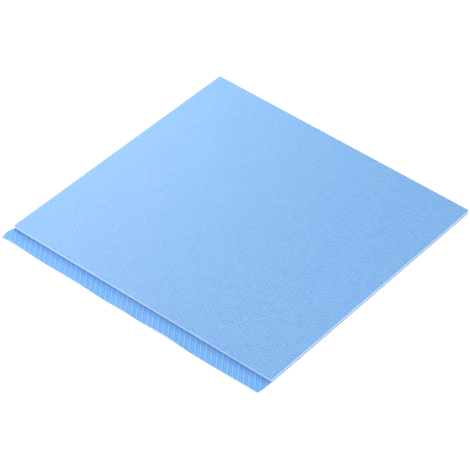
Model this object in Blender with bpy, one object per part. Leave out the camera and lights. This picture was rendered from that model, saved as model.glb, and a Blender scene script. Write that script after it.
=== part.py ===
"""Thermal pad sheet: a soft silicone gap-filler sheet lying on its release liner.

The liner is a thin embossed film. It is flush with the pad at the sides and the back, and sticks out
in front as a pull tab whose free edge waves up off the surface that the sheet lies on.
Metres, +Z up. The pad's front edge runs along X, and the tab points to -Y. The origin is on the surface
that the sheet lies on, under the middle of the pad and tab together.
"""

import math

import bmesh
import bpy

# The silicone pad, cut with a knife from a wider sheet.
PAD_WIDTH = 0.145
PAD_DEPTH = 0.145
PAD_THICKNESS = 0.0015
PAD_CORNER_RADIUS = 0.0006
PAD_CORNER_SEGMENTS = 4
PAD_RIM_ROUNDING = 0.00012
PAD_RIM_SEGMENTS = 2
PAD_RIM_LEAST_ANGLE = math.radians(40)

# The release liner under it, measured over its emboss.
LINER_THICKNESS = 0.00015
LINER_CLEARANCE = 0.0003

# The pull tab. Its outer edge was cut a little out of parallel with the pad.
TAB_REACH_LEFT = 0.0079
TAB_REACH_RIGHT = 0.0090
TAB_COLUMNS = 116
TAB_ROWS = 8
TAB_CURL_POWER = 2.0

# The waves along the tab's free edge, as distances from its left end: where each one leaves the surface,
# where it is highest, where it comes down, and its height.
TAB_WAVES = (
    (0.0000, 0.0060, 0.0295, 0.00090),
    (0.0195, 0.0445, 0.0615, 0.00075),
    (0.0585, 0.0715, 0.0815, 0.00066),
    (0.0725, 0.0950, 0.1105, 0.00115),
    (0.1085, 0.1450, 0.1815, 0.00105),
)

# The left end of the tab arches between the pad and its outer corner, which touches the surface.
ARCH_HEIGHT = 0.0011
ARCH_LENGTH = 0.0120

SILICONE_BLUE = (0.305, 0.552, 0.905, 1.0)
SILICONE_ROUGHNESS = 0.62
LINER_BLUE = (0.205, 0.462, 0.905, 1.0)
LINER_ROUGHNESS = 0.45

PAD_BOTTOM = LINER_THICKNESS + LINER_CLEARANCE
WHOLE_DEPTH = PAD_DEPTH + max(TAB_REACH_LEFT, TAB_REACH_RIGHT)
BACK_Y = WHOLE_DEPTH / 2
PAD_FRONT_Y = BACK_Y - PAD_DEPTH
LEFT_X = -PAD_WIDTH / 2


def clear_scene():
    for old in list(bpy.data.objects):
        bpy.data.objects.remove(old, do_unlink=True)


def plain_material(name, color, roughness):
    material = bpy.data.materials.new(name)
    material.use_nodes = True
    shader = material.node_tree.nodes["Principled BSDF"]
    shader.inputs["Base Color"].default_value = color
    shader.inputs["Roughness"].default_value = roughness
    shader.inputs["Metallic"].default_value = 0.0
    return material


def object_from(bm, name, material):
    mesh = bpy.data.meshes.new(name)
    bm.to_mesh(mesh)
    bm.free()
    mesh.materials.append(material)
    placed = bpy.data.objects.new(name, mesh)
    bpy.context.scene.collection.objects.link(placed)
    return placed


def silicone_pad():
    """A flat square block with slightly rounded upright corners, and knife-cut rims that are softened by a bevel."""
    bm = bmesh.new()
    bmesh.ops.create_cube(bm, size=1.0)
    bmesh.ops.scale(bm, vec=(PAD_WIDTH, PAD_DEPTH, PAD_THICKNESS), verts=bm.verts)
    upright = [edge for edge in bm.edges if abs(edge.verts[0].co.z - edge.verts[1].co.z) > PAD_THICKNESS / 2]
    bmesh.ops.bevel(
        bm,
        geom=upright,
        offset=PAD_CORNER_RADIUS,
        segments=PAD_CORNER_SEGMENTS,
        profile=0.5,
        affect="EDGES",
    )
    pad = object_from(bm, "silicone_pad", plain_material("silicone", SILICONE_BLUE, SILICONE_ROUGHNESS))
    pad.location = (0.0, BACK_Y - PAD_DEPTH / 2, PAD_BOTTOM + PAD_THICKNESS / 2)
    rims = pad.modifiers.new("rim_rounding", "BEVEL")
    rims.width = PAD_RIM_ROUNDING
    rims.segments = PAD_RIM_SEGMENTS
    rims.limit_method = "ANGLE"
    rims.angle_limit = PAD_RIM_LEAST_ANGLE
    return pad


def tab_reach(along):
    """How far the tab sticks out in front of the pad, at this distance from its left end."""
    return TAB_REACH_LEFT + (TAB_REACH_RIGHT - TAB_REACH_LEFT) * along / PAD_WIDTH


def swell(share):
    """A smooth rise from 0 to 1 as share goes from 0 to 1."""
    return 0.5 - 0.5 * math.cos(math.pi * min(max(share, 0.0), 1.0))


def free_edge_height(along):
    height = 0.0
    for start, crest, end, top in TAB_WAVES:
        if along < crest:
            height += top * swell((along - start) / (crest - start))
        else:
            height += top * swell((end - along) / (end - crest))
    return height


def tab_height(along, out):
    """The height of the film's underside. out is 0 at the pad and 1 at the tab's free edge."""
    curl = free_edge_height(along) * out**TAB_CURL_POWER
    arch = ARCH_HEIGHT * swell(1.0 - along / ARCH_LENGTH) * math.sin(math.pi * out) ** 2
    return curl + arch


def release_liner():
    """A sheet of film: flat under the pad, then a grid of small faces that follows the tab's waves."""
    bm = bmesh.new()
    columns = []
    for step in range(TAB_COLUMNS + 1):
        along = PAD_WIDTH * step / TAB_COLUMNS
        x = LEFT_X + along
        column = [bm.verts.new((x, BACK_Y, 0.0))]
        for row in range(TAB_ROWS + 1):
            out = row / TAB_ROWS
            y = PAD_FRONT_Y - tab_reach(along) * out
            column.append(bm.verts.new((x, y, tab_height(along, out))))
        columns.append(column)
    for left, right in zip(columns, columns[1:]):
        for row in range(TAB_ROWS + 1):
            bm.faces.new((left[row], left[row + 1], right[row + 1], right[row]))
    liner = object_from(bm, "release_liner", plain_material("liner_film", LINER_BLUE, LINER_ROUGHNESS))
    wall = liner.modifiers.new("film_thickness", "SOLIDIFY")
    wall.thickness = LINER_THICKNESS
    wall.offset = 1.0
    wall.use_even_offset = True
    return liner


clear_scene()
silicone_pad()
release_liner()
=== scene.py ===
import math

import bmesh
import bpy
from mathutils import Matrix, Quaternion, Vector


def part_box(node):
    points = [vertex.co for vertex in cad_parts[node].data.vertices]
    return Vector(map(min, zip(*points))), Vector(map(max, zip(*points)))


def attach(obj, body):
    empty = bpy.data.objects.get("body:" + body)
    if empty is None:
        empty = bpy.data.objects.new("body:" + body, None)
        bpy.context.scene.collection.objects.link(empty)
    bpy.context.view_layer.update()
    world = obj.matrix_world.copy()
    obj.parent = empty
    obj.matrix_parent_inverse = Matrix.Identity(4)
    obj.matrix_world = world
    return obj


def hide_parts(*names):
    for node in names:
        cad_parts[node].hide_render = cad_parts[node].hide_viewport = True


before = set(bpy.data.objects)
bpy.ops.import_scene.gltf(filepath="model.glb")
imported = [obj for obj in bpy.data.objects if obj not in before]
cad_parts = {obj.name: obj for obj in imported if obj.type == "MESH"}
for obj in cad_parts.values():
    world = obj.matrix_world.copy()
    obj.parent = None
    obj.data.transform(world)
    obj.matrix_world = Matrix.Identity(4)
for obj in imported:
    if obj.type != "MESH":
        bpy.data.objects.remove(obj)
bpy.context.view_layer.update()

# The silicone pad
# A soft sheet of silicone and ceramic powder, rolled between embossed films and cut square with a knife. The
# diamonds in its top are pressed in less to the left. Shade is painted into their grooves, and it fades to
# the left with them. The cut sides are smooth, and painted much paler than the skin: painted light on the
# sides.
DIAMOND_LENGTH = 0.00450
DIAMOND_WIDTH = 0.00219
DIAMOND_TURN = math.radians(-1.8)
STEPS_PER_CELL = 4
SPARE_CELLS = 4
GROOVE_SHARE = 0.18
FALLING_GROOVE_DEPTH = 0.000044
RISING_GROOVE_DEPTH = 0.000080
CROWN_HEIGHT = 0.000024
# Painted shade in the grooves: the share of the groove shade colour that each set shows at full depth.
FALLING_GROOVE_PAINTED_SHADE = 0.46
RISING_GROOVE_PAINTED_SHADE = 0.54
# Towards the left, the grooves' depth and their painted shade both fall to these shares of their full.
FAINT_LEFT_OF = -0.045
FULL_RIGHT_OF = 0.045
FALLING_FAINTEST = 0.50
RISING_FAINTEST = 0.08
TRIM_MARGIN = 0.0015

PAD_CORNER_RADIUS = 0.0006
RIM_RADIUS = 0.00012
RIM_STEPS = 3
CORNER_CUTS = 4

SKIN_BLUE = (0.141, 0.337, 0.602, 1.0)
SKIN_BLUE_PALE = (0.150, 0.347, 0.612, 1.0)
# Painted shade in the grooves; the random speckles use this colour too.
GROOVE_SHADE_AND_SPECKLE_BLUE = (0.078, 0.222, 0.558, 1.0)
# The cut sides are painted much paler than the skin: painted light on the sides.
CUT_BLUE = (0.478, 0.638, 0.842, 1.0)
CUT_BLUE_PALE = (0.503, 0.663, 0.867, 1.0)
SILICONE_ROUGHNESS = 0.60
SKIN_SPECULAR = 1.0
CUT_SPECULAR = 0.3

GRAIN_DETAIL = 3.0
BLOTCH_DETAIL = 4.0
BLOTCHES_FROM = 0.3
BLOTCHES_FULL_AT = 0.7
SILICONE_GRAIN = 0.00025
SILICONE_BLOTCHES = 0.020
SILICONE_BUMP = 0.000010
# Soft patches make the painted groove shade uneven, and random speckles add darker dots.
GROOVE_SHADE_PATCHES = 0.0030
PATCH_STRENGTH = 1.4
SKIN_SPECKLES = 0.0011
SPECKLES_FROM = 0.4
SPECKLES_FULL_AT = 0.75
SPECKLE_STRENGTH = 0.40

pad_low, pad_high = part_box("silicone_pad")
pad_centre = (pad_low + pad_high) / 2
pad_half = (pad_high - pad_low) / 2
corner_x = pad_half.x - PAD_CORNER_RADIUS
corner_y = pad_half.y - PAD_CORNER_RADIUS


def add(tree, kind, inputs=None, **settings):
    """Adds a node, sets its options, and links or fills its inputs. Returns its outputs."""
    node = tree.nodes.new(kind)
    for option, value in settings.items():
        setattr(node, option, value)
    for socket, value in (inputs or {}).items():
        if isinstance(value, bpy.types.NodeSocket):
            tree.links.new(value, node.inputs[socket])
        else:
            node.inputs[socket].default_value = value
    return node.outputs


def compute(tree, operation, *values):
    """One Math node."""
    return add(tree, "ShaderNodeMath", dict(enumerate(values)), operation=operation)[0]


def point_place(tree):
    """Where each point of the mesh lies, as X, Y and Z."""
    return add(tree, "ShaderNodeSeparateXYZ", {0: add(tree, "GeometryNodeInputPosition")[0]})


def shape_tree(name, sizes):
    """An empty Geometry Nodes tree with a named input for each size, and its group input's outputs."""
    tree = bpy.data.node_groups.new(name, "GeometryNodeTree")
    tree.interface.new_socket("Geometry", in_out="OUTPUT", socket_type="NodeSocketGeometry")
    for size_name, (kind, _) in sizes.items():
        tree.interface.new_socket(size_name, in_out="INPUT", socket_type="NodeSocket" + kind)
    return tree, add(tree, "NodeGroupInput")


def baked_mesh(tree, sizes, shape, material):
    """Ends the tree with this shape and material, runs it with these sizes, and returns its plain mesh."""
    whole = add(tree, "GeometryNodeRealizeInstances", {0: shape})
    painted = add(tree, "GeometryNodeSetMaterial", {"Geometry": whole[0], "Material": material})
    add(tree, "NodeGroupOutput", {0: painted[0]})
    holder = bpy.data.objects.new(tree.name, bpy.data.meshes.new("start"))
    bpy.context.scene.collection.objects.link(holder)
    modifier = holder.modifiers.new(tree.name, "NODES")
    modifier.node_group = tree
    for item in tree.interface.items_tree:
        if item.in_out == "INPUT":
            modifier[item.identifier] = sizes[item.name][1]
    graph = bpy.context.evaluated_depsgraph_get()
    mesh = bpy.data.meshes.new_from_object(holder.evaluated_get(graph), depsgraph=graph)
    mesh.materials.pop(index=0)  # the start mesh's empty slot, which comes before the tree's own material
    bpy.data.objects.remove(holder)
    return mesh


def grain_group():
    """Shared by the silicone and the film: a fine grain for bumps, and soft broad blotches for colour."""
    group = bpy.data.node_groups.new("grain_and_blotches", "ShaderNodeTree")
    for way, names in (("INPUT", ("Grain Size", "Blotch Size")), ("OUTPUT", ("Grain", "Blotches"))):
        for name in names:
            group.interface.new_socket(name, in_out=way, socket_type="NodeSocketFloat")
    size = add(group, "NodeGroupInput")
    place = add(group, "ShaderNodeTexCoord")["Object"]
    noises = []
    for size_name, detail in (("Grain Size", GRAIN_DETAIL), ("Blotch Size", BLOTCH_DETAIL)):
        scale = compute(group, "DIVIDE", 1.0, size[size_name])
        noise = add(group, "ShaderNodeTexNoise", {"Vector": place, "Scale": scale, "Detail": detail})
        noises.append(noise[0])
    grain, broad = noises
    blotches = add(
        group,
        "ShaderNodeMapRange",
        {"Value": broad, "From Min": BLOTCHES_FROM, "From Max": BLOTCHES_FULL_AT},
    )
    add(group, "NodeGroupOutput", {"Grain": grain, "Blotches": blotches[0]})
    return group


grain_and_blotches = grain_group()


def texture_of(tree, grain_size, blotch_size):
    """The shared grain and blotches, placed in a material with sizes of its own."""
    return add(
        tree,
        "ShaderNodeGroup",
        {"Grain Size": grain_size, "Blotch Size": blotch_size},
        node_tree=grain_and_blotches,
    )


def mixed(tree, share, first, second):
    """A colour between two others: the first where share is 0, and the second where it is 1."""
    blend = add(tree, "ShaderNodeMix", {"Factor": share, "A": first, "B": second}, data_type="RGBA")
    return blend["Result"]


def new_material(name, roughness, specular):
    """A material of even roughness and gloss, with its node tree and its shader."""
    material = bpy.data.materials.new(name)
    material.use_nodes = True
    tree = material.node_tree
    shader = tree.nodes["Principled BSDF"]
    shader.inputs["Roughness"].default_value = roughness
    shader.inputs["Specular IOR Level"].default_value = specular
    return material, tree, shader


def dress(tree, shader, color, grain, bump_depth):
    """Gives a shader its colour and a fine bump that follows the grain."""
    tree.links.new(color, shader.inputs["Base Color"])
    bump = add(tree, "ShaderNodeBump", {"Height": grain, "Distance": bump_depth})
    tree.links.new(bump[0], shader.inputs["Normal"])


def silicone(name, color, pale, specular, shade_and_speckle_color=None):
    """Silicone in two close blues.

    With a groove colour, the mesh says how much painted shade shows in the grooves. Soft patches vary that,
    and random speckles of the same colour add to it everywhere.
    """
    material, tree, shader = new_material(name, SILICONE_ROUGHNESS, specular)
    texture = texture_of(tree, SILICONE_GRAIN, SILICONE_BLOTCHES)
    tint = mixed(tree, texture["Blotches"], color, pale)
    if shade_and_speckle_color:
        # Patches vary the painted shade in the grooves, and speckles add random darker dots.
        patches_and_speckles = texture_of(tree, SKIN_SPECKLES, GROOVE_SHADE_PATCHES)
        uneven = compute(tree, "MULTIPLY_ADD", patches_and_speckles["Blotches"], PATCH_STRENGTH, 1 - PATCH_STRENGTH / 2)
        speckle = add(
            tree,
            "ShaderNodeMapRange",
            {
                "Value": patches_and_speckles["Grain"],
                "From Min": SPECKLES_FROM,
                "From Max": SPECKLES_FULL_AT,
                "To Max": SPECKLE_STRENGTH,
            },
        )[0]
        # How much painted shade the mesh carries in its grooves, at each point.
        groove = add(tree, "ShaderNodeAttribute", attribute_name="groove")["Fac"]
        press_and_shade = compute(tree, "MULTIPLY_ADD", groove, uneven, speckle)
        tint = mixed(tree, press_and_shade, tint, shade_and_speckle_color)
    dress(tree, shader, tint, texture["Grain"], SILICONE_BUMP)
    return material


def diamond_skin():
    """The embossed top face, larger than the pad: a lattice of diamonds whose lines are grooves."""
    reach = pad_half.x / DIAMOND_LENGTH + pad_half.y / DIAMOND_WIDTH
    sizes = {
        "Cells": ("Int", 2 * math.ceil(reach) + SPARE_CELLS),
        "Diamond Length": ("Float", DIAMOND_LENGTH),
        "Diamond Width": ("Float", DIAMOND_WIDTH),
        "Turn": ("Float", DIAMOND_TURN),
        "Groove Share": ("Float", GROOVE_SHARE),
        "Falling Groove Depth": ("Float", FALLING_GROOVE_DEPTH),
        "Rising Groove Depth": ("Float", RISING_GROOVE_DEPTH),
        "Crown Height": ("Float", CROWN_HEIGHT),
        "Falling Groove Tint": ("Float", FALLING_GROOVE_PAINTED_SHADE),
        "Rising Groove Tint": ("Float", RISING_GROOVE_PAINTED_SHADE),
        "Faint Left Of": ("Float", FAINT_LEFT_OF),
        "Full Right Of": ("Float", FULL_RIGHT_OF),
        "Falling Faintest": ("Float", FALLING_FAINTEST),
        "Rising Faintest": ("Float", RISING_FAINTEST),
        "Half Width": ("Float", pad_half.x + TRIM_MARGIN),
        "Half Depth": ("Float", pad_half.y + TRIM_MARGIN),
        "Middle": ("Vector", (pad_centre.x, pad_centre.y, pad_high.z)),
    }
    tree, size = shape_tree("diamond_emboss", sizes)
    corners = compute(tree, "MULTIPLY_ADD", size["Cells"], STEPS_PER_CELL, 1)
    grid = add(
        tree,
        "GeometryNodeMeshGrid",
        {"Size X": size["Cells"], "Size Y": size["Cells"], "Vertices X": corners, "Vertices Y": corners},
    )
    place = point_place(tree)
    half_length = compute(tree, "DIVIDE", size["Diamond Length"], 2.0)
    level_x = compute(tree, "MULTIPLY", compute(tree, "SUBTRACT", place["X"], place["Y"]), half_length)
    # Fades both the grooves' depth and their painted shade towards the left.
    press_and_shade = add(
        tree,
        "ShaderNodeMapRange",
        {"Value": level_x, "From Min": size["Faint Left Of"], "From Max": size["Full Right Of"]},
        interpolation_type="SMOOTHSTEP",
    )[0]
    # The point beside each line is drawn in to the groove's shoulder, and the one halfway stays.
    shoulder = 1 / STEPS_PER_CELL
    moved, grooves, painted_shades, crowns = [], [], [], []
    for across, way in ((place["X"], "Falling"), (place["Y"], "Rising")):
        line = compute(tree, "ROUND", across)
        side = compute(tree, "SUBTRACT", across, line)
        off = compute(tree, "ABSOLUTE", side)
        near = compute(tree, "MULTIPLY", compute(tree, "MINIMUM", off, shoulder), size["Groove Share"])
        beyond = compute(tree, "MAXIMUM", compute(tree, "SUBTRACT", off, shoulder), 0.0)
        wide = compute(tree, "MULTIPLY", beyond, compute(tree, "SUBTRACT", 0.5, size["Groove Share"]))
        step = compute(tree, "MULTIPLY", compute(tree, "ADD", near, wide), STEPS_PER_CELL)
        moved.append(compute(tree, "MULTIPLY_ADD", compute(tree, "SIGN", side), step, line))
        groove = compute(tree, "MAXIMUM", compute(tree, "MULTIPLY_ADD", off, -STEPS_PER_CELL, 1.0), 0.0)
        faintest = size[way + " Faintest"]
        press = compute(tree, "MULTIPLY_ADD", press_and_shade, compute(tree, "SUBTRACT", 1.0, faintest), faintest)
        groove = compute(tree, "MULTIPLY", groove, press)
        grooves.append(compute(tree, "MULTIPLY", groove, size[way + " Groove Depth"]))
        painted_shades.append(compute(tree, "MULTIPLY", groove, size[way + " Groove Tint"]))
        crowns.append(compute(tree, "SINE", compute(tree, "MULTIPLY", step, math.pi)))
    along = compute(tree, "SUBTRACT", *moved)
    up = compute(tree, "ADD", *moved)
    hollow = compute(tree, "SUBTRACT", 1.0, compute(tree, "MULTIPLY", *crowns))
    depth = compute(tree, "MULTIPLY_ADD", hollow, size["Crown Height"], compute(tree, "MAXIMUM", *grooves))
    flat = add(
        tree,
        "ShaderNodeCombineXYZ",
        {
            "X": compute(tree, "MULTIPLY", along, half_length),
            "Y": compute(tree, "MULTIPLY", up, compute(tree, "DIVIDE", size["Diamond Width"], 2.0)),
            "Z": compute(tree, "MULTIPLY", depth, -1.0),
        },
    )
    turned = add(
        tree, "ShaderNodeVectorRotate", {"Vector": flat[0], "Angle": size["Turn"]}, rotation_type="Z_AXIS"
    )
    # Stores how much painted shade each point's groove gets, for the skin's colour.
    marked = add(
        tree,
        "GeometryNodeStoreNamedAttribute",
        {"Geometry": grid["Mesh"], "Name": "groove", "Value": compute(tree, "MAXIMUM", *painted_shades)},
        data_type="FLOAT",
        domain="POINT",
    )
    lattice = add(tree, "GeometryNodeSetPosition", {"Geometry": marked[0], "Position": turned[0]})
    face = point_place(tree)
    past_side = compute(tree, "GREATER_THAN", compute(tree, "ABSOLUTE", face["X"]), size["Half Width"])
    past_end = compute(tree, "GREATER_THAN", compute(tree, "ABSOLUTE", face["Y"]), size["Half Depth"])
    kept = add(
        tree,
        "GeometryNodeDeleteGeometry",
        {"Geometry": lattice[0], "Selection": compute(tree, "ADD", past_side, past_end)},
        domain="FACE",
    )
    placed = add(tree, "GeometryNodeSetPosition", {"Geometry": kept[0], "Offset": size["Middle"]})
    return baked_mesh(tree, sizes, placed[0], skin_material)


def cut_square(bm):
    """Trims the skin to the pad's outline, one rim radius inside its sides, with round corners."""
    radius = PAD_CORNER_RADIUS - RIM_RADIUS
    cuts = 4 * (CORNER_CUTS + 1)
    for number in range(cuts):
        angle = 2 * math.pi * number / cuts
        outward = Vector((math.cos(angle), math.sin(angle), 0.0))
        arc_centre = Vector((math.copysign(corner_x, outward.x), math.copysign(corner_y, outward.y), 0.0))
        bmesh.ops.bisect_plane(
            bm,
            geom=bm.verts[:] + bm.edges[:] + bm.faces[:],
            plane_co=pad_centre + arc_centre + outward * radius,
            plane_no=outward,
            clear_outer=True,
        )


def outward_at(place):
    """The level direction out of the pad's side, at a point on or near its outline."""
    offset = place - pad_centre
    nearest_x = min(max(offset.x, -corner_x), corner_x)
    nearest_y = min(max(offset.y, -corner_y), corner_y)
    return (offset - Vector((nearest_x, nearest_y, offset.z))).normalized()


def ring_below(bm, ring, out, height):
    """Adds a strip of faces below this ring of edges. height gives the new ring's z from the old z."""
    made = bmesh.ops.extrude_edge_only(bm, edges=ring)["geom"]
    for vert in (item for item in made if isinstance(item, bmesh.types.BMVert)):
        vert.co += outward_at(vert.co) * out
        vert.co.z = height(vert.co.z)
    strip = [item for item in made if isinstance(item, bmesh.types.BMFace)]
    return [item for item in made if isinstance(item, bmesh.types.BMEdge) and item.is_boundary], strip


def pad_body(skin):
    """The whole pad: the trimmed skin, a rounded rim, the cut sides, and the plain underside."""
    bm = bmesh.new()
    bm.from_mesh(skin)
    cut_square(bm)
    ring = [edge for edge in bm.edges if edge.is_boundary]
    turns = [math.pi / 2 * step / RIM_STEPS for step in range(RIM_STEPS + 1)]
    for before, after in zip(turns, turns[1:]):
        out = RIM_RADIUS * (math.sin(after) - math.sin(before))
        drop = RIM_RADIUS * (math.cos(before) - math.cos(after))
        ring, _ = ring_below(bm, ring, out, lambda z: z - drop)
    ring, sides = ring_below(bm, ring, 0.0, lambda z: pad_low.z + RIM_RADIUS)
    for before, after in zip(turns[::-1], turns[-2::-1]):
        out = RIM_RADIUS * (math.sin(after) - math.sin(before))
        level = pad_low.z + RIM_RADIUS * (1 - math.cos(after))
        ring, _ = ring_below(bm, ring, out, lambda z: level)
    underside = bmesh.ops.edgeloop_fill(bm, edges=ring)["faces"]
    bmesh.ops.recalc_face_normals(bm, faces=bm.faces)
    for face in bm.faces:
        face.smooth = True
    for face in sides:
        face.material_index = 1
    for edge in ring:
        edge.smooth = False
    for face in underside:
        face.smooth = False
    mesh = bpy.data.meshes.new("embossed_pad")
    bm.to_mesh(mesh)
    bm.free()
    return mesh


skin_material = silicone("embossed_silicone", SKIN_BLUE, SKIN_BLUE_PALE, SKIN_SPECULAR, GROOVE_SHADE_AND_SPECKLE_BLUE)
cut_material = silicone("cut_silicone", CUT_BLUE, CUT_BLUE_PALE, CUT_SPECULAR)
pad_mesh = pad_body(diamond_skin())
pad_mesh.materials.append(skin_material)
pad_mesh.materials.append(cut_material)
embossed_pad = bpy.data.objects.new("embossed_pad", pad_mesh)
bpy.context.scene.collection.objects.link(embossed_pad)
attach(embossed_pad, "root")
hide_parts("silicone_pad")

# The release liner
# A thin blue plastic film under the pad, embossed with slanting ribs, a bold one and then a faint one. It was
# cut flush with the pad at the sides and the back, and in front it sticks out as a pull tab.
TAB_COLUMNS = 725
TAB_ROWS = 38
HIDDEN_ROWS = 2
HIDDEN_FADE = 0.0010
END_STRIP = 0.0010
MERGE_STEPS = 0.1
RAY_START = -0.01
RAY_LENGTH = 0.1
SAMPLE_INSET = 0.00003
FRONT_INSET = 3 * SAMPLE_INSET
SMOOTHING_ROUNDS = 16
SHARP_ANGLE = math.radians(50)

RIB_PITCH = 0.00242
RIB_TURN = math.radians(34.5)
RIB_SHARE = 0.17
FAINT_RIB_SHARE = 0.12
RIB_HEIGHT = 0.00008
FAINT_RIB_HEIGHT = 0.00004
# How much of the painted rib highlight the faint ribs show.
FAINT_RIB_HIGHLIGHT = 0.5
FILM_WALL = 0.00007

FILM_BLUE = (0.121, 0.311, 0.638, 1.0)
FILM_BLUE_PALE = (0.131, 0.321, 0.648, 1.0)
# The ribs are painted paler: a painted highlight on them.
RIB_HIGHLIGHT_BLUE = (0.225, 0.430, 0.765, 1.0)
FILM_ROUGHNESS = 0.45
FILM_SPECULAR = 0.06
FILM_GRAIN = 0.00040
FILM_BLOTCHES = 0.012
FILM_BUMP = 0.000008

liner_low, liner_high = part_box("release_liner")
cad_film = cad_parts["release_liner"]
film_points = [vert.co for vert in cad_film.data.vertices]


def tab_reach_at(x):
    """How far the tab sticks out at this end, from the liner's own corner points there."""
    here = [point.y for point in film_points if abs(point.x - x) < END_STRIP]
    return pad_low.y - min(here)


def rib_profile(tree, place, pitch, turn, share, faint_share):
    """Two masks from 0 to 1: the bold ribs, and the faint ribs halfway between them."""
    turned = add(tree, "ShaderNodeVectorRotate", {"Vector": place, "Angle": turn}, rotation_type="Z_AXIS")
    across = compute(tree, "DIVIDE", add(tree, "ShaderNodeSeparateXYZ", {0: turned[0]})["X"], pitch)
    masks = []
    for shift, width in ((0.0, share), (0.5, faint_share)):
        shifted = compute(tree, "ADD", across, shift)
        off = compute(tree, "ABSOLUTE", compute(tree, "SUBTRACT", shifted, compute(tree, "ROUND", shifted)))
        mask = add(
            tree,
            "ShaderNodeMapRange",
            {"Value": off, "From Min": 0.0, "From Max": width, "To Min": 1.0, "To Max": 0.0},
            interpolation_type="SMOOTHSTEP",
        )
        masks.append(mask[0])
    return masks


def ribbed_film_mesh():
    """A closed film: a fine grid over the tab, on the liner's own waves, then two rows under the pad."""
    sizes = {
        "Columns": ("Int", TAB_COLUMNS),
        "Rows": ("Int", TAB_ROWS),
        "Left": ("Float", pad_low.x),
        "Width": ("Float", pad_high.x - pad_low.x),
        "Pad Front": ("Float", pad_low.y),
        "Pad Depth": ("Float", pad_high.y - pad_low.y),
        "Reach Left": ("Float", tab_reach_at(liner_low.x)),
        "Reach Right": ("Float", tab_reach_at(liner_high.x)),
        "Hidden Fade": ("Float", HIDDEN_FADE),
        "Rib Pitch": ("Float", RIB_PITCH),
        "Rib Turn": ("Float", -RIB_TURN),
        "Rib Share": ("Float", RIB_SHARE),
        "Faint Rib Share": ("Float", FAINT_RIB_SHARE),
        "Rib Height": ("Float", RIB_HEIGHT),
        "Faint Rib Height": ("Float", FAINT_RIB_HEIGHT),
        "Film Wall": ("Float", FILM_WALL),
        "Whole Thickness": ("Float", FILM_WALL + RIB_HEIGHT),
        "Liner": ("Object", cad_film),
    }
    tree, size = shape_tree("ribbed_film", sizes)
    last_row = compute(tree, "ADD", size["Rows"], HIDDEN_ROWS)
    grid = add(
        tree,
        "GeometryNodeMeshGrid",
        {
            "Size X": size["Columns"],
            "Size Y": last_row,
            "Vertices X": compute(tree, "ADD", size["Columns"], 1.0),
            "Vertices Y": compute(tree, "ADD", last_row, 1.0),
        },
    )
    # The points are one step apart here, and z is 0 on the film's underside and 1 on its top.
    raised = add(
        tree,
        "GeometryNodeExtrudeMesh",
        {"Mesh": grid["Mesh"], "Offset": (0.0, 0.0, 1.0), "Offset Scale": 1.0, "Individual": False},
    )
    turned_over = add(tree, "GeometryNodeFlipFaces", {"Mesh": grid["Mesh"]})
    both = tree.nodes.new("GeometryNodeJoinGeometry")
    tree.links.new(raised["Mesh"], both.inputs[0])
    tree.links.new(turned_over[0], both.inputs[0])
    closed = add(
        tree, "GeometryNodeMergeByDistance", {"Geometry": both.outputs[0], "Distance": MERGE_STEPS}
    )

    # Of the rows under the pad, one is just behind its front edge and the last is at its back edge.
    place = point_place(tree)
    along = compute(tree, "ADD", compute(tree, "DIVIDE", place["X"], size["Columns"]), 0.5)
    row = compute(tree, "ROUND", compute(tree, "ADD", place["Y"], compute(tree, "DIVIDE", last_row, 2.0)))
    towards_pad = compute(tree, "DIVIDE", row, size["Rows"])
    out = compute(tree, "MAXIMUM", compute(tree, "SUBTRACT", 1.0, towards_pad), 0.0)
    reach = add(
        tree,
        "ShaderNodeMapRange",
        {"Value": along, "To Min": size["Reach Left"], "To Max": size["Reach Right"]},
    )[0]
    x = compute(tree, "MULTIPLY_ADD", along, size["Width"], size["Left"])
    y = compute(tree, "SUBTRACT", size["Pad Front"], compute(tree, "MULTIPLY", reach, out))
    hidden = compute(tree, "GREATER_THAN", row, compute(tree, "ADD", size["Rows"], 0.5))
    at_back = compute(tree, "GREATER_THAN", row, compute(tree, "SUBTRACT", last_row, 0.5))
    to_back = compute(tree, "SUBTRACT", size["Pad Depth"], size["Hidden Fade"])
    y = compute(tree, "MULTIPLY_ADD", hidden, size["Hidden Fade"], y)
    y = compute(tree, "MULTIPLY_ADD", at_back, to_back, y)

    # A ray goes up from below each point, kept just inside the liner's outline, to the liner's underside.
    right = compute(tree, "ADD", size["Left"], size["Width"])
    seen_x = compute(tree, "MAXIMUM", x, compute(tree, "ADD", size["Left"], SAMPLE_INSET))
    seen_x = compute(tree, "MINIMUM", seen_x, compute(tree, "SUBTRACT", right, SAMPLE_INSET))
    front = compute(tree, "SUBTRACT", size["Pad Front"], reach)
    back = compute(tree, "ADD", size["Pad Front"], size["Pad Depth"])
    seen_y = compute(tree, "MAXIMUM", y, compute(tree, "ADD", front, FRONT_INSET))
    seen_y = compute(tree, "MINIMUM", seen_y, compute(tree, "SUBTRACT", back, SAMPLE_INSET))
    below = add(tree, "ShaderNodeCombineXYZ", {"X": seen_x, "Y": seen_y, "Z": RAY_START})
    liner = add(tree, "GeometryNodeObjectInfo", {"Object": size["Liner"]})
    ray = add(
        tree,
        "GeometryNodeRaycast",
        {
            "Target Geometry": liner["Geometry"],
            "Source Position": below[0],
            "Ray Direction": (0.0, 0.0, 1.0),
            "Ray Length": RAY_LENGTH,
        },
    )
    lift = add(tree, "ShaderNodeSeparateXYZ", {0: ray["Hit Position"]})["Z"]
    smooth = add(
        tree,
        "GeometryNodeBlurAttribute",
        {"Value": compute(tree, "MAXIMUM", lift, 0.0), "Iterations": SMOOTHING_ROUNDS},
    )[0]

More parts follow.
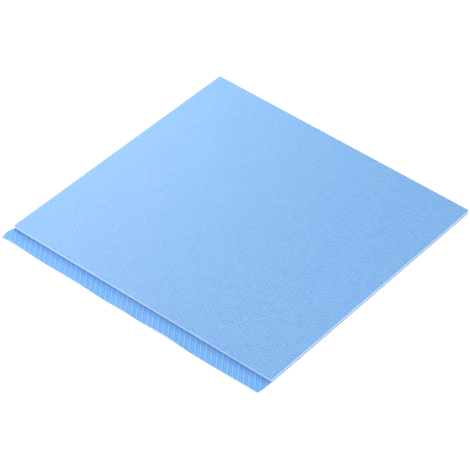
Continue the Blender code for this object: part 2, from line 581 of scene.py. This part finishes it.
    level = add(tree, "ShaderNodeCombineXYZ", {"X": x, "Y": y})[0]
    bold, faint = rib_profile(
        tree, level, size["Rib Pitch"], size["Rib Turn"], size["Rib Share"], size["Faint Rib Share"]
    )
    relief = compute(tree, "MULTIPLY", bold, size["Rib Height"])
    relief = compute(tree, "MAXIMUM", relief, compute(tree, "MULTIPLY", faint, size["Faint Rib Height"]))
    shown = compute(tree, "SUBTRACT", 1.0, hidden)
    relief = compute(tree, "MULTIPLY", relief, shown)
    wall = add(
        tree,
        "ShaderNodeMapRange",
        {"Value": shown, "To Min": size["Whole Thickness"], "To Max": size["Film Wall"]},
    )[0]
    z = compute(tree, "ADD", smooth, relief)
    z = compute(tree, "MULTIPLY_ADD", place["Z"], wall, z)
    film_place = add(tree, "ShaderNodeCombineXYZ", {"X": x, "Y": y, "Z": z})
    placed = add(tree, "GeometryNodeSetPosition", {"Geometry": closed[0], "Position": film_place[0]})
    return baked_mesh(tree, sizes, placed[0], film_material)


def film(name):
    """Plastic in two close blues, with a highlight painted paler on the ribs."""
    material, tree, shader = new_material(name, FILM_ROUGHNESS, FILM_SPECULAR)
    texture = texture_of(tree, FILM_GRAIN, FILM_BLOTCHES)
    place = add(tree, "ShaderNodeTexCoord")["Object"]
    bold, faint = rib_profile(tree, place, RIB_PITCH, -RIB_TURN, RIB_SHARE, FAINT_RIB_SHARE)
    # Where the painted highlight shows: full on the bold ribs, part on the faint ones.
    ribs = compute(tree, "MAXIMUM", bold, compute(tree, "MULTIPLY", faint, FAINT_RIB_HIGHLIGHT))
    tint = mixed(tree, texture["Blotches"], FILM_BLUE, FILM_BLUE_PALE)
    dress(tree, shader, mixed(tree, ribs, tint, RIB_HIGHLIGHT_BLUE), texture["Grain"], FILM_BUMP)
    return material


film_material = film("embossed_film")
film_mesh = ribbed_film_mesh()
film_mesh.shade_smooth()
film_mesh.set_sharp_from_angle(angle=SHARP_ANGLE)
ribbed_film = bpy.data.objects.new("ribbed_film", film_mesh)
bpy.context.scene.collection.objects.link(ribbed_film)
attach(ribbed_film, "root")
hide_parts("release_liner")

# The table under it
# A light table: white acrylic that is lit from below, so that the thin sheet on it throws hardly any shadow.
# It is wide enough that its edges never show.
TABLE_HALF = 3.0
TABLE_WHITE = (0.30, 0.30, 0.30, 1.0)
TABLE_ROUGHNESS = 0.9
TABLE_SPECULAR = 0.1
FULL_WHITE = (1.0, 1.0, 1.0, 1.0)
TABLE_GLOW = 0.70

floor_mesh = bpy.data.meshes.new("light_table")
floor_corners = [(TABLE_HALF * x, TABLE_HALF * y, 0.0) for x, y in ((-1, -1), (1, -1), (1, 1), (-1, 1))]
floor_mesh.from_pydata(floor_corners, [], [(0, 1, 2, 3)])
floor = bpy.data.objects.new("light_table", floor_mesh)
acrylic, _, acrylic_shader = new_material("lit_acrylic", TABLE_ROUGHNESS, TABLE_SPECULAR)
acrylic_shader.inputs["Base Color"].default_value = TABLE_WHITE
acrylic_shader.inputs["Emission Color"].default_value = FULL_WHITE
acrylic_shader.inputs["Emission Strength"].default_value = TABLE_GLOW
floor_mesh.materials.append(acrylic)
bpy.context.scene.collection.objects.link(floor)

# The light
# Soft boxes in a dim white room. A broad panel and a low box on the left pale the pad's left end. The key is
# at the right with a box behind it, and a box in front lights the cut side and the tab.
ROOM_STRENGTH = 0.02
# For each box: its place, the point that it faces, its width and height, and its watts.
SOFT_BOXES = {
    "left_panel": ((-0.30, 0.0, 0.22), (-0.05, 0.0, 0.0), (0.70, 0.40), 1.96),
    "low_box": ((-0.33, 0.26, 0.12), (-0.06, 0.0, 0.0), (0.10, 0.30), 0.60),
    "key": ((0.35, -0.10, 0.35), (0.0, 0.0, 0.0), (0.35, 0.35), 1.63),
    "back_box": ((0.30, 0.50, 0.40), (0.0, 0.0, 0.0), (0.50, 0.30), 2.90),
    "front_box": ((-0.30, -0.50, 0.16), (0.0, -0.05, 0.0), (0.50, 0.15), 2.43),
}

world = bpy.data.worlds.new("room")
world.use_nodes = True
background = world.node_tree.nodes["Background"]
background.inputs["Color"].default_value = FULL_WHITE
background.inputs["Strength"].default_value = ROOM_STRENGTH
bpy.context.scene.world = world

for name, (box_place, aim, (width, height), watts) in SOFT_BOXES.items():
    light = bpy.data.lights.new(name, "AREA")
    light.shape = "RECTANGLE"
    light.size = width
    light.size_y = height
    light.energy = watts
    lamp = bpy.data.objects.new(name, light)
    lamp.location = box_place
    towards_lamp = Vector(box_place) - Vector(aim)
    lamp.rotation_euler = towards_lamp.to_track_quat("Z", "Y").to_euler()
    bpy.context.scene.collection.objects.link(lamp)

# The camera
# It stands where the photograph's did: in front and to the right, looking down, with a long lens.
# Its focal length is given in pixels of a picture that is IMAGE_PIXELS wide.
AIM = Vector((0.0044, -0.0073, 0.00195))
AZIMUTH = math.radians(36.08)
ELEVATION = math.radians(41.58)
ROLL = math.radians(3.97)
DISTANCE = 1.1164
IMAGE_PIXELS = 470
FOCAL_PIXELS = 2516.0
SENSOR_MM = 36.0
NEAR_CLIP = 0.01

towards_camera = Vector((
    math.sin(AZIMUTH) * math.cos(ELEVATION),
    -math.cos(AZIMUTH) * math.cos(ELEVATION),
    math.sin(ELEVATION),
))
lens = bpy.data.cameras.new("camera")
lens.sensor_width = SENSOR_MM
lens.lens = SENSOR_MM * FOCAL_PIXELS / IMAGE_PIXELS
lens.clip_start = NEAR_CLIP
camera = bpy.data.objects.new("camera", lens)
camera.rotation_mode = "QUATERNION"
camera.location = AIM + towards_camera * DISTANCE
camera.rotation_quaternion = towards_camera.to_track_quat("Z", "Y") @ Quaternion((0.0, 0.0, 1.0), ROLL)
bpy.context.scene.collection.objects.link(camera)
bpy.context.scene.camera = camera
bpy.context.scene.view_settings.view_transform = "Standard"
